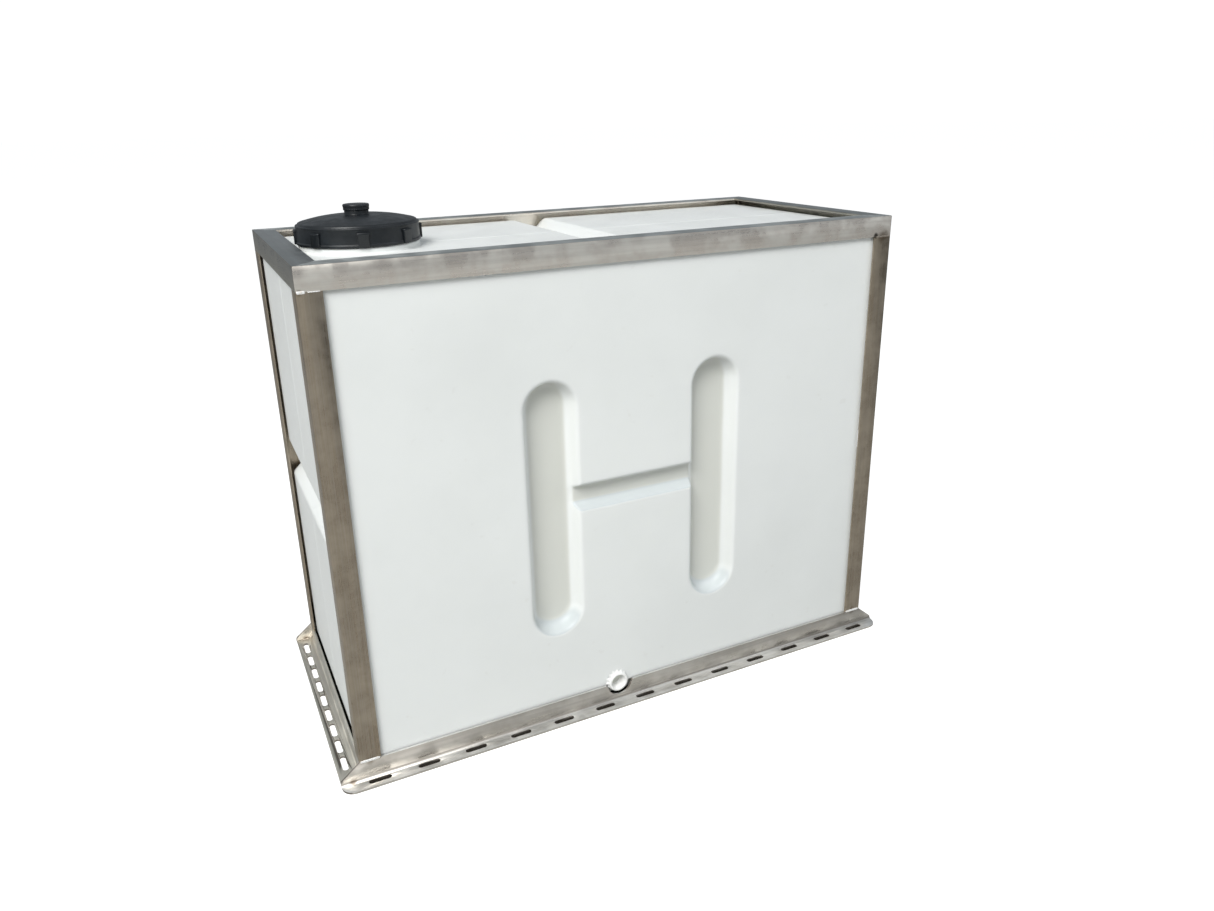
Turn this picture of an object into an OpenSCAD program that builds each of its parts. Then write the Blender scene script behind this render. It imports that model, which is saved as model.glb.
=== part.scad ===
// Fresh water tank in a welded angle cage, for a food truck or trailer.
// Origin: middle of the footprint, on the floor. +X along the length, -Y is the front, +Z up.

/* [Cage] */
// Outside length of the cage, along X
frame_l = 914.4; // [820:0.1:1000]
// Outside width of the cage, along Y
frame_w = 428.6; // [400:0.1:520]
// Height of the cage, floor to the top of the rails
frame_h = 741.6; // [690:0.1:800]
// Leg of the angle that the cage is cut from
angle_leg = 31.75; // [30:0.05:34]
// Floor leg of the angle along the front and the back
long_flange = 25.4; // [24:0.1:28]
// Thickness of the angle
angle_t = 3.2; // [2.5:0.1:3.6]
// Fillet in the angle's inside corner
root_r = 4.8; // [2:0.1:5]
// Rounding of the base flange's outer corners
foot_corner_r = 19; // [8:0.5:20]
// Height at which the sloping ends of the long base angles' upright legs stop
gusset_end_h = 8.5; // [5:0.5:12]

/* [Anchor slots] */
// Length of a slot, end to end
slot_l = 33; // [24:0.5:36]
// Width of a slot
slot_w = 8.4; // [6:0.1:10]
// Slots in each long flange
long_slots = 13; // [5:2:13]
// Pitch of the slots in the long flanges
long_pitch = 72.5; // [60:0.5:73]
// Slots in each short flange
short_slots = 9; // [3:2:9]
// Pitch of the slots in the short flanges
short_pitch = 43; // [38:0.5:44]
// Distance from the cage's face to the middle of a long flange's slots
long_slot_out = 10.8; // [10:0.1:12]
// Distance from the cage's face to the middle of a short flange's slots
short_slot_out = 15.6; // [12:0.1:17]
// How far the row of slots in the long flanges stands off centre, towards +X
long_slot_shift = 2.8; // [0:0.1:6]
// How far the row of slots in the short flanges stands off centre, towards +Y
short_slot_shift = 6; // [0:0.1:8]

/* [Tank] */
// Clearance between the tank and the side angles, at each end
tank_gap_x = 4; // [2:0.5:8]
// Clearance between the tank and the front and back angles
tank_gap_y = 2; // [1.8:0.1:4]
// How far the tank's top lies below the top of the rails
tank_drop = 12; // [8:0.5:20]
// Wall thickness of the tank
tank_wall = 5; // [4:0.5:7]
// Rounding of the tank's upright corners
tank_corner_r = 22; // [16:1:30]

/* [Stiffening recesses] */
// Spacing of the two upright recesses, centre to centre
recess_pitch = 274; // [200:1:300]
// Width of an upright recess
recess_w = 79; // [60:1:90]
// Lowest point of the upright recesses, above the floor
recess_z0 = 150; // [100:1:200]
// Highest point of the upright recesses
recess_z1 = 551; // [480:1:600]
// Depth of the upright recesses
recess_d = 23; // [16:1:30]
// Height of the bar that joins the two recesses
bar_h = 40; // [30:1:60]
// Middle of that bar above the floor, and of the side grooves
bar_z = 368; // [320:1:400]
// Depth of that bar
bar_d = 16; // [10:1:20]
// Width of the grooves in the sides and the top, at the surface
groove_w = 57; // [48:1:70]
// Width of the same grooves at the bottom
groove_floor_w = 32; // [20:1:40]
// Depth of the same grooves
groove_d = 17; // [10:1:20]

/* [Fill neck and lid] */
// Place of the fill neck along X
neck_x = -334.2; // [-340:0.1:-120]
// Radius of the fill opening
mouth_r = 72; // [60:0.5:74]
// Outer radius of the threaded part of the neck
neck_r = 79; // [78:0.5:79.5]
// Outer radius of the collar below the lid
collar_r = 84; // [82:0.5:86]
// Height of the collar above the tank's top
collar_h = 8.6; // [6:0.1:8.8]
// Height of the neck's rim above the tank's top
neck_h = 27.4; // [26:0.1:28]
// Outer radius of the lid's skirt
lid_r = 86; // [86:0.5:90]
// Inner radius of the lid's skirt
lid_bore_r = 81.6; // [81:0.1:82]
// Height of the skirt
skirt_h = 25.3; // [25:0.1:28]
// Rise from the skirt's top edge to the shoulder
shoulder_h = 3.3; // [2:0.1:5]
// Rise from the shoulder to the foot of the vent cap
dome_h = 13; // [10:0.5:15]
// Gripping lugs round the lid
lugs = 8; // [4:1:12]
// How far a lug stands out
lug_out = 3.2; // [2:0.1:5]
// Width of a lug
lug_w = 16; // [10:0.5:20]
// Height of a lug
lug_h = 20; // [12:1:22]
// Turn of the lugs about the lid's axis, in degrees
lug_clock = -7.6; // [-22:0.1:22]

/* [Vent] */
// Outer radius of the vent cap
cap_r = 18.4; // [17:0.1:20]
// Height of the vent cap
cap_h = 10; // [9:0.1:12]
// Outer radius of the vent tube
tube_r = 13; // [12:0.1:13.4]
// Inner radius of the vent tube above its valve seat
tube_bore_r = 8.4; // [8:0.1:9]
// Inner radius of the valve seat
seat_r = 5; // [4:0.1:6]

/* [Drain] */
// Place of the drain along X
drain_x = -39.5; // [-60:0.5:60]
// Height of the drain's middle above the floor
drain_z = 33; // [32:0.1:36]
// Radius of the drain's bore, at the thread's crests
drain_bore_r = 12; // [10:0.1:12.5]
// Outer radius of the drain's boss
drain_boss_r = 16; // [15:0.1:16.5]
// Radius of the notch in the front angle around the boss
notch_r = 21.5; // [21:0.1:22.5]
// Distance from the drain's middle to the notch's, along X
notch_shift = 1.7; // [0:0.1:2]
// Rounding of the two corners where the notch meets the angle's top edge
notch_corner_r = 5; // [2:0.5:8]

/* [Hidden] */

steel = "#9a938a";
weld_steel = "#d8d8d4";
milky = "#eef0ee";
black_plastic = "#22262a";
rubber = "#3a3a3a";

$fn = 96;
eps = 0.01;
fit = 0.3;

half_l = frame_l / 2;
half_w = frame_w / 2;
reach = angle_leg - angle_t;
long_reach = long_flange - angle_t;

tank_x = half_l - angle_t - tank_gap_x;
tank_y = half_w - angle_t - tank_gap_y;
tank_h = frame_h - tank_drop;

lid_z = tank_h + collar_h + 0.8;
skirt_top = lid_z + skirt_h;
shoulder_z = skirt_top + shoulder_h;
shoulder_r = lid_r - 6;
dome_z = shoulder_z + dome_h;
lid_t = 3.6;
rim_z = tank_h + neck_h;
gasket_t = 3;
ceiling_z = rim_z + gasket_t + 2 * fit;

seat_t = 3;
seat_z = dome_z - 1;
tube_z = dome_z + 6.4;
cap_z = dome_z + 1;
filter_t = 1.2;
cap_under_z = tube_z + filter_t + 2 * fit;
valve_t = 2;
screen_r = 10;
screen_t = 0.8;

foot_bead = 1.2;
foot_bead_h = 3.6;

bead_w = 5;
bead_h = 1.2;
tack_r = 2.2;
tack_l = 15;

// ---------- shared shapes ----------

// Angle in section: heel at the origin, one leg along +X, as long as foot, and one along +Y.
module angle_section(foot = angle_leg) {
    difference() {
        union() {
            square([foot, angle_t]);
            square([angle_t, angle_leg]);
            square(angle_t + root_r);
        }
        translate([angle_t + root_r, angle_t + root_r])
            circle(root_r);
    }
}

// Slot in plan, along X, with round ends.
module slot_outline() {
    square([slot_l - slot_w, slot_w], center = true);
    for (side = [-1, 1])
        translate([side * (slot_l - slot_w) / 2, 0])
            circle(d = slot_w);
}

// Puts a 2D outline, drawn as (across, up), on the plane y = 0 and gives it depth along +Y.
module stand_up(depth) {
    translate([0, depth, 0])
        rotate([90, 0, 0])
            linear_extrude(depth)
                children();
}

// Low bead of weld on a surface at z = 0, along X.
module weld_bead(length) {
    crown_r = (bead_w * bead_w / 4 + bead_h * bead_h) / (2 * bead_h);
    translate([-length / 2, 0, 0])
        rotate([90, 0, 90])
            linear_extrude(length)
                intersection() {
                    translate([0, bead_h - crown_r])
                        circle(crown_r);
                    translate([-bead_w / 2, 0])
                        square([bead_w, bead_h]);
                }
}

// Quarter-round fillet of weld in the corner between the planes y = 0 and z = 0, along X.
module weld_fillet(length, r) {
    translate([-length / 2, 0, 0])
        rotate([90, 0, 90])
            linear_extrude(length)
                difference() {
                    square(r);
                    translate([r, r])
                        circle(r);
                }
}

// ---------- cage ----------

// Top rail along X, on the side y = -side_y, mitred at both ends.
module top_rail(length, side_y) {
    half = length / 2;
    intersection() {
        translate([-half, -side_y, frame_h])
            rotate([90, 0, 90])
                linear_extrude(length)
                    mirror([0, 1])
                        angle_section();
        translate([0, -side_y, frame_h - angle_leg - 1])
            linear_extrude(angle_leg + 2)
                polygon([
                    [-half, 0], [half, 0],
                    [half - angle_leg - 1, angle_leg + 1],
                    [-half + angle_leg + 1, angle_leg + 1]
                ]);
    }
}

// Post in the corner x < 0, y < 0.
module post() {
    translate([-half_l, -half_w, angle_leg])
        linear_extrude(frame_h - 2 * angle_leg)
            angle_section();
}

// Angle along X on the side y = -side_y: upright leg inside, floor flange outside.
module floor_angle(half, side_y, foot) {
    translate([-half, -side_y + angle_t, 0])
        rotate([90, 0, 90])
            linear_extrude(2 * half)
                mirror([1, 0])
                    angle_section(foot);
}

// Row of slots along X, centred on x = middle, at the depth y.
module slot_row(slots, pitch, middle, y) {
    for (i = [0 : slots - 1])
        translate([middle + (i - (slots - 1) / 2) * pitch, y, -1])
            linear_extrude(angle_t + 2)
                slot_outline();
}

// Base angle of a short side, along X on the side y = -half_l, its slots centred on x = middle.
module short_base_angle(middle) {
    difference() {
        floor_angle(half_w - angle_t, half_l, angle_leg);
        slot_row(short_slots, short_pitch, middle, -half_l - short_slot_out);
    }
}

// Outline of the long base angles' upright leg: its ends slope down to the flange as gussets.
module long_leg_outline() {
    far = half_l + reach;
    polygon([
        [-far, -1], [far, -1], [far, gusset_end_h],
        [half_l, angle_leg + eps], [-half_l, angle_leg + eps], [-far, gusset_end_h]
    ]);
}

// Plan of the long base angles, with round outer corners.
module long_foot_plan() {
    far = half_l + reach;
    r = foot_corner_r;
    translate([-far + r, -half_w - long_reach])
        square([2 * (far - r), long_reach + angle_t + 1]);
    translate([-far, -half_w - long_reach + r])
        square([2 * far, long_reach + angle_t + 1 - r]);
    for (side = [-1, 1])
        translate([side * (far - r), -half_w - long_reach + r])
            circle(r);
}

module long_base_angle() {
    far = half_l + reach;
    difference() {
        intersection() {
            floor_angle(far, half_w, long_flange);
            translate([0, -half_w - long_reach - 1, 0])
                stand_up(long_reach + angle_t + 2)
                    long_leg_outline();
            translate([0, 0, -1])
                linear_extrude(angle_leg + 2)
                    long_foot_plan();
        }
        slot_row(long_slots, long_pitch, long_slot_shift, -half_w - long_slot_out);
    }
}

// Notch round the drain, as (across, up) from the middle of its arc on the angle's top edge.
module notch_outline() {
    corner_x = sqrt(pow(notch_r + notch_corner_r, 2) - pow(notch_corner_r, 2));
    circle(notch_r);
    difference() {
        translate([-corner_x, -notch_corner_r])
            square([2 * corner_x, notch_corner_r + 1]);
        for (side = [-1, 1])
            translate([side * corner_x, -notch_corner_r])
                circle(notch_corner_r);
    }
}

module top_rail_front() {
    color(steel)
        top_rail(frame_l, half_w);
}

module top_rail_back() {
    color(steel)
        mirror([0, 1, 0])
            top_rail(frame_l, half_w);
}

module top_rail_left() {
    color(steel)
        rotate([0, 0, -90])
            top_rail(frame_w, half_l);
}

module top_rail_right() {
    color(steel)
        rotate([0, 0, 90])
            top_rail(frame_w, half_l);
}

module post_front_left() {
    color(steel)
        post();
}

module post_front_right() {
    color(steel)
        mirror([1, 0, 0])
            post();
}

module post_back_left() {
    color(steel)
        mirror([0, 1, 0])
            post();
}

module post_back_right() {
    color(steel)
        mirror([1, 0, 0])
            mirror([0, 1, 0])
                post();
}

module base_angle_front() {
    color(steel)
        difference() {
            long_base_angle();
            translate([drain_x + notch_shift, -half_w - 1, angle_leg])
                stand_up(angle_t + 2)
                    notch_outline();
        }
}

module base_angle_back() {
    color(steel)
        mirror([0, 1, 0])
            long_base_angle();
}

module base_angle_left() {
    color(steel)
        rotate([0, 0, -90])
            short_base_angle(-short_slot_shift);
}

module base_angle_right() {
    color(steel)
        rotate([0, 0, 90])
            short_base_angle(short_slot_shift);
}

// ---------- welds ----------

// Repeats its children, made for the corner x < 0, y < 0, in all four corners.
module four_corners() {
    for (flip_x = [0, 1], flip_y = [0, 1])
        mirror([flip_x, 0, 0])
            mirror([0, flip_y, 0])
                children();
}

// The two beads that run round the outside of a corner at height z.
module corner_beads(z) {
    length = angle_leg - 2;
    translate([-half_l + angle_leg / 2, -half_w, z])
        rotate([90, 0, 0])
            weld_bead(length);
    translate([-half_l, -half_w + angle_leg / 2, z])
        rotate([90, 0, -90])
            weld_bead(length);
}

module top_corner_welds() {
    length = angle_leg - angle_t - root_r - 1;
    color(weld_steel)
        four_corners()
            translate([-half_l + angle_t, -half_w + angle_t, frame_h - angle_leg + 0.5 + length / 2])
                rotate([0, -90, 0])
                    mirror([0, 0, 1])
                        weld_fillet(length, 3);
}

module post_top_welds() {
    color(weld_steel)
        four_corners()
            corner_beads(frame_h - angle_leg);
}

module post_foot_welds() {
    color(weld_steel)
        four_corners()
            translate([-half_l + angle_leg / 2, -half_w, angle_leg])
                rotate([90, 0, 0])
                    weld_bead(angle_leg - 2);
}

module base_corner_welds() {
    color(weld_steel)
        four_corners()
            translate([-half_l - reach / 2, -half_w + angle_t, angle_t])
                weld_fillet(tack_l, tack_r);
}

// ---------- tank ----------

// Plan of the tank, shrunk by inset on every side.
module tank_plan(inset) {
    x = tank_x - inset;
    y = tank_y - inset;
    r = tank_corner_r - inset;
    square([2 * x, 2 * (y - r)], center = true);
    square([2 * (x - r), 2 * y], center = true);
    for (sx = [-1, 1], sy = [-1, 1])
        translate([sx * (x - r), sy * (y - r)])
            circle(r);
}

// Upright slot with round ends, centred on x = 0, between two heights, grown by grow.
module upright_outline(grow) {
    r = recess_w / 2 + grow;
    low = recess_z0 + recess_w / 2;
    high = recess_z1 - recess_w / 2;
    translate([-r, low])
        square([2 * r, high - low]);
    for (z = [low, high])
        translate([0, z])
            circle(r);
}

// Recesses of the front wall: two uprights and the bar that joins them, grown by grow.
module front_recess(grow) {
    margin = 2;
    translate([0, -tank_y - margin, 0]) {
        for (side = [-1, 1])
            translate([side * recess_pitch / 2, 0, 0])
                stand_up(recess_d + grow + margin)
                    upright_outline(grow);
        stand_up(bar_d + grow + margin)
            translate([-recess_pitch / 2, bar_z - bar_h / 2 - grow])
                square([recess_pitch, bar_h + 2 * grow]);
    }
}

// Groove in section: mouth on the line v = 0, running down to v = -groove_d, grown by grow.
module groove_section(grow) {
    mouth = groove_w / 2 + grow;
    floor_half = groove_floor_w / 2 + grow;
    polygon([
        [-mouth, 1], [mouth, 1], [mouth, 0],
        [floor_half, -groove_d - grow], [-floor_half, -groove_d - grow], [-mouth, 0]
    ]);
}

// Grooves across the top and the two sides, all along Y, grown by grow.
module grooves(grow) {
    length = 2 * tank_y + 4;
    translate([0, -length / 2, tank_h])
        stand_up(length)
            groove_section(grow);
    for (side = [-1, 1])
        translate([side * tank_x, -length / 2, bar_z])
            rotate([0, side * 90, 0])
                stand_up(length)
                    groove_section(grow);
}

module recesses(grow) {
    front_recess(grow);
    mirror([0, 1, 0])
        front_recess(grow);
    grooves(grow);
}

module tank_shell() {
    color(milky)
        difference() {
            union() {
                difference() {
                    linear_extrude(tank_h)
                        tank_plan(0);
                    recesses(0);
                }
                translate([neck_x, 0, tank_h - eps]) {
                    cylinder(r = collar_r, h = collar_h + eps);
                    cylinder(r = neck_r, h = neck_h + eps);
                }
            }
            difference() {
                translate([0, 0, tank_wall])
                    linear_extrude(tank_h - 2 * tank_wall)
                        tank_plan(tank_wall);
                recesses(tank_wall);
            }
            translate([neck_x, 0, tank_h - tank_wall - 1])
                cylinder(r = mouth_r, h = neck_h + tank_wall + 2);
            translate([drain_x, -tank_y - 1, drain_z])
                rotate([-90, 0, 0])
                    cylinder(r = drain_boss_r + 0.1, h = tank_wall + 2);
        }
}

// ---------- drain ----------

module drain_fitting() {
    stand = half_w - tank_y;
    boss_l = stand + tank_wall + 8;
    flange_r = 24;
    flange_t = 1.6;
    ribs = 18;
    rib_t = 1.8;
    rib_start = 1.4;
    long_rib_r = flange_r - 0.8;
    short_rib_r = notch_r - notch_shift - 1.2;
    color(milky)
        translate([drain_x, -half_w, drain_z])
            rotate([-90, 0, 0])
                difference() {
                    union() {
                        cylinder(r = drain_boss_r, h = boss_l);
                        translate([0, 0, stand - flange_t])
                            cylinder(r = flange_r, h = flange_t);
                        for (i = [0 : ribs - 1]) {
                            turn = (i + 0.5) * 360 / ribs;
                            rib_r = sin(turn) < -0.1 ? long_rib_r : short_rib_r;
                            rotate([0, 0, turn])
                                translate([drain_boss_r - 2, -rib_t / 2, rib_start])
                                    cube([rib_r - drain_boss_r + 2, rib_t, stand - rib_start - 0.8]);
                        }
                    }
                    translate([0, 0, -1])
                        cylinder(r = drain_bore_r, h = boss_l + 2);
                }
}

// ---------- lid ----------

// Height of the lid's outer surface at radius r: a low dome, steepest at the shoulder.
function dome_at(r) =
    shoulder_z + dome_h * (1 - pow((r - tube_r) / (shoulder_r - tube_r), 1.5));

// Section of the lid: skirt, shoulder, dome and vent tube, with the land for the gasket inside.
module lid_section() {
    steps = 10;
    rib_out_r = mouth_r - 1;
    rib_in_r = rib_out_r - 2.5;
    outside = [
        for (i = [0 : steps])
            let (r = shoulder_r + (tube_r - shoulder_r) * i / steps)
                [r, dome_at(r)]
    ];
    inside = [
        for (i = [0 : steps])
            let (r = tube_r + (rib_in_r - tube_r) * i / steps)
                [r, dome_at(r) - lid_t]
    ];
    polygon(concat(
        [[lid_bore_r, lid_z], [lid_r + foot_bead, lid_z]],
        [[lid_r + foot_bead, lid_z + foot_bead_h], [lid_r, lid_z + foot_bead_h + foot_bead]],
        [[lid_r, skirt_top]],
        outside,
        [[tube_r, tube_z], [tube_bore_r, tube_z], [tube_bore_r, seat_z], [seat_r, seat_z]],
        [[seat_r, seat_z - seat_t], [screen_r + 0.5, seat_z - seat_t]],
        inside,
        [[rib_in_r, rim_z - 1], [rib_out_r, rim_z - 1], [rib_out_r, ceiling_z]],
        [[lid_bore_r, ceiling_z]]
    ));
}

// Gripping lug on the skirt, at angle 0.
module lid_lug() {
    root = 1.5;
    intersection() {
        translate([lid_r - root, -lug_w / 2, lid_z])
            cube([lug_out + root, lug_w, lug_h]);
        translate([0, 0, lid_z])
            cylinder(r1 = lid_r + lug_out, r2 = lid_r + lug_out - 0.8, h = lug_h);
    }
}

module fill_lid() {
    color(black_plastic)
        translate([neck_x, 0, 0]) {
            rotate_extrude()
                lid_section();
            for (i = [0 : lugs - 1])
                rotate([0, 0, lug_clock + i * 360 / lugs])
                    lid_lug();
        }
}

// Flat ring that stands on z.
module ring(outer_r, inner_r, z, h) {
    translate([neck_x, 0, z])
        difference() {
            cylinder(r = outer_r, h = h);
            translate([0, 0, -1])
                cylinder(r = inner_r, h = h + 2);
        }
}

module lid_gasket() {
    color(rubber)
        ring(neck_r, mouth_r, rim_z + fit, gasket_t);
}

// ---------- vent ----------

module vent_cap() {
    rim_chamfer = 1.4;
    color(black_plastic)
        translate([neck_x, 0, 0])
            rotate_extrude()
                polygon([
                    [tube_r + 0.6, cap_z], [cap_r - 0.8, cap_z], [cap_r, cap_z + 0.8],
                    [cap_r, cap_z + cap_h - rim_chamfer], [cap_r - rim_chamfer, cap_z + cap_h],
                    [0, cap_z + cap_h], [0, cap_under_z], [tube_r + 0.6, cap_under_z]
                ]);
}

module vent_filter_ring() {
    color(rubber)
        ring(tube_r - 0.2, tube_bore_r, tube_z + fit, filter_t);
}

module vent_valve() {
    color(black_plastic)
        translate([neck_x, 0, seat_z + fit]) {
            cylinder(r = tube_bore_r - 0.8, h = valve_t);
            cylinder(r = 2, h = valve_t + 0.8);
        }
}

// Perforated disc: rings of holes about a centre hole.
module vent_screen() {
    hole_rings = 3;
    ring_pitch = 2.6;
    hole_r = 0.8;
    color(weld_steel)
        translate([neck_x, 0, seat_z - seat_t - screen_t])
            difference() {
                cylinder(r = screen_r, h = screen_t);
                translate([0, 0, -1])
                    cylinder(r = hole_r, h = screen_t + 2);
                for (k = [1 : hole_rings], i = [0 : 6 * k - 1])
                    rotate([0, 0, i * 60 / k])
                        translate([k * ring_pitch, 0, -1])
                            cylinder(r = hole_r, h = screen_t + 2, $fn = 24);
            }
}

// ---------- nodes ----------

tank_shell();
drain_fitting();
fill_lid();
lid_gasket();
vent_cap();
vent_filter_ring();
vent_valve();
vent_screen();
top_rail_front();
top_rail_back();
top_rail_left();
top_rail_right();
post_front_left();
post_front_right();
post_back_left();
post_back_right();
base_angle_front();
base_angle_back();
base_angle_left();
base_angle_right();
top_corner_welds();
post_top_welds();
post_foot_welds();
base_corner_welds();
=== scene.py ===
import math

import bmesh
import bpy
import numpy as np
from mathutils import Matrix, Vector, noise


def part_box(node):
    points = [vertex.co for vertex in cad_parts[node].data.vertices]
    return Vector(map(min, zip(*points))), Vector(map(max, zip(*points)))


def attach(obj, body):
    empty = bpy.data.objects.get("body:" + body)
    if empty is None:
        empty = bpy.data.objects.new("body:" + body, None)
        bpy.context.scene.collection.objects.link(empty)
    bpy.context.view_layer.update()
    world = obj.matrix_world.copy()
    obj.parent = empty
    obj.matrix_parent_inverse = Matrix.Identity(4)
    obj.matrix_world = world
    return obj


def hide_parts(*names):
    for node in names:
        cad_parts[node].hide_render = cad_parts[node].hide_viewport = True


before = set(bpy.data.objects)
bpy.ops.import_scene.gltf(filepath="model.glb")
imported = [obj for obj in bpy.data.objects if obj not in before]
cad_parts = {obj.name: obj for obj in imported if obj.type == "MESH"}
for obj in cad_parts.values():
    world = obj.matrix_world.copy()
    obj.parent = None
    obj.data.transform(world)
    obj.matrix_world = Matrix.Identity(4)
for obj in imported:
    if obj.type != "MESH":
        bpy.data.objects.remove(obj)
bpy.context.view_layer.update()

MM = 0.001
ROOT = "cage_and_tank"
UP = Vector((0, 0, 1))

# ---------- sizes, from the frame and a few dimensions of the real parts ----------

HALF_L = -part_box("post_front_left")[0].x
HALF_W = -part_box("post_front_left")[0].y
CAGE_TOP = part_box("top_rail_front")[1].z
LEG = CAGE_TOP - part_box("top_rail_front")[0].z
STEEL_T = 3.2 * MM
FLANGE_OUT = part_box("base_angle_front")[1].x
FLOOR_SHADE_Y = -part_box("base_angle_front")[0].y - 1 * MM

TANK_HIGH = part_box("tank_shell")[1]
TANK_X = TANK_HIGH.x
TANK_Y = TANK_HIGH.y
NECK_H = 27.4 * MM
TANK_H = TANK_HIGH.z - NECK_H
WALL = 5 * MM
# Mould seam round the middle of the top and the ends
SEAM_H = 0.5 * MM
SEAM_HALF = 2 * MM
# How far the flat front and back walls sway
WALL_SWAY = 0.5 * MM
EDGE_R = Vector((22, 22, 12)) * MM
FOOT_R = 10 * MM
# The tank is drawn in below this height, to stand inside the base angles
STEP_Z = 29.2 * MM
STEP_IN = 12 * MM

LID_LOW, LID_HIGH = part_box("fill_lid")
NECK_X = (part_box("lid_gasket")[0].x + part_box("lid_gasket")[1].x) / 2
MOUTH_R = 72 * MM
NECK_R = 79 * MM
COLLAR_R = 84 * MM
COLLAR_H = 8.6 * MM
THREAD_PITCH = 8 * MM

DRAIN_LOW, DRAIN_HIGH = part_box("drain_fitting")
DRAIN_X = (DRAIN_LOW.x + DRAIN_HIGH.x) / 2
DRAIN_Z = 33 * MM
DRAIN_FACE = DRAIN_LOW.y

GROOVE_Z = 368 * MM
RECESS_X = 137 * MM
RECESS_HALF = 39.5 * MM
RECESS_LOW = 150 * MM
RECESS_HIGH = 551 * MM
RECESS_DEPTH = 23 * MM
# How far past the recesses' ends their painted shade reaches
RECESS_MARGIN = 10 * MM
BAR_HALF = 20 * MM
BAR_DEPTH = 16 * MM
GROOVE_HALF = 28.5 * MM
GROOVE_RUN = 12.5 * MM
GROOVE_DEPTH = 17 * MM
# Where the walls start to bend in towards the ends of the grooves
END_BEND = 424 * MM
TOP_BEND = 708.6 * MM


# ---------- mesh helpers ----------

def spread(stations):
    """Positions from a list of (position, step): evenly spaced from each station to the next."""
    places = []
    for (start, step), (stop, _) in zip(stations, stations[1:]):
        count = max(1, round((stop - start) / step))
        places += [start + (stop - start) * i / count for i in range(count)]
    return np.array(places + [stations[-1][0]])


def rounded(outline, closed=True, arc_steps=5):
    """Outline of (x, y, radius) corners as (x, y) points, each corner turned into an arc of its radius."""
    points = []
    last = len(outline) - 1
    for i, (x, y, radius) in enumerate(outline):
        corner = Vector((x, y))
        if radius == 0 or (not closed and i in (0, last)):
            points.append(corner)
            continue
        to_last = Vector(outline[i - 1][:2]) - corner
        to_next = Vector(outline[(i + 1) % len(outline)][:2]) - corner
        half = to_last.angle(to_next) / 2
        cut = min(radius / math.tan(half), 0.49 * to_last.length, 0.49 * to_next.length)
        radius = cut * math.tan(half)
        to_last.normalize()
        to_next.normalize()
        centre = corner + (to_last + to_next).normalized() * radius / math.sin(half)
        start = corner + to_last * cut - centre
        end = corner + to_next * cut - centre
        turn = math.pi - 2 * half
        for k in range(arc_steps + 1):
            t = k / arc_steps
            a = math.sin((1 - t) * turn) / math.sin(turn)
            b = math.sin(t * turn) / math.sin(turn)
            points.append(centre + start * a + end * b)
    return [(p.x, p.y) for p in points]


def make_piece(name, vertices, faces, material, body=ROOT, sharp=None):
    """A closed mesh as an object that rides on a body; edges sharper than sharp degrees stay crisp."""
    mesh = bpy.data.meshes.new(name)
    mesh.from_pydata([tuple(v) for v in vertices], [], faces)
    mesh.validate()
    shape = bmesh.new()
    shape.from_mesh(mesh)
    bmesh.ops.delete(shape, geom=[v for v in shape.verts if not v.link_faces], context="VERTS")
    bmesh.ops.recalc_face_normals(shape, faces=shape.faces)
    shape.to_mesh(mesh)
    shape.free()
    mesh.shade_smooth()
    if sharp is not None:
        mesh.set_sharp_from_angle(angle=math.radians(sharp))
    piece = bpy.data.objects.new(name, mesh)
    bpy.context.scene.collection.objects.link(piece)
    piece.data.materials.append(material)
    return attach(piece, body)


def joined(parts):
    """Vertices and faces of several meshes as one."""
    vertices, faces = [], []
    for some_vertices, some_faces in parts:
        base = len(vertices)
        vertices += list(some_vertices)
        faces += [tuple(base + i for i in face) for face in some_faces]
    return vertices, faces


def tube_faces(rings, around, closed_along=False, start_cap=True, end_cap=True):
    """Faces of a grid of rings, each of the same number of points."""
    faces = []
    for i in range(rings if closed_along else rings - 1):
        for k in range(around):
            a = i * around
            b = ((i + 1) % rings) * around
            n = (k + 1) % around
            faces.append((a + k, a + n, b + n, b + k))
    if not closed_along and start_cap:
        faces.append(tuple(range(around)))
    if not closed_along and end_cap:
        faces.append(tuple((rings - 1) * around + k for k in range(around)))
    return faces


def revolve(profile, around, centre=Vector(), axis="Z", warp=None):
    """Closed (radius, height) profile turned about an axis; warp(radius, height, angle) may move a point."""
    vertices = []
    for radius, height in profile:
        for k in range(around):
            angle = 2 * math.pi * k / around
            r, h = warp(radius, height, angle) if warp else (radius, height)
            across = (r * math.cos(angle), r * math.sin(angle))
            local = Vector((*across, h)) if axis == "Z" else Vector((across[0], h, across[1]))
            vertices.append(centre + local)
    return vertices, tube_faces(len(profile), around, closed_along=True)


def revolve_solid(profile, around, centre=Vector(), warp=None):
    """(radius, height) profile from axis to axis, turned about Z into a solid without a hole."""
    vertices = [centre + Vector((0, 0, profile[0][1]))]
    inner = profile[1:-1]
    for radius, height in inner:
        for k in range(around):
            angle = 2 * math.pi * k / around
            r, h = warp(radius, height, angle) if warp else (radius, height)
            vertices.append(centre + Vector((r * math.cos(angle), r * math.sin(angle), h)))
    vertices.append(centre + Vector((0, 0, profile[-1][1])))
    faces = [
        tuple(1 + i for i in face)
        for face in tube_faces(len(inner), around, start_cap=False, end_cap=False)
    ]
    end = len(vertices) - 1
    for k in range(around):
        n = (k + 1) % around
        faces.append((0, 1 + n, 1 + k))
        faces.append((end, end - around + k, end - around + n))
    return vertices, faces


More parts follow.
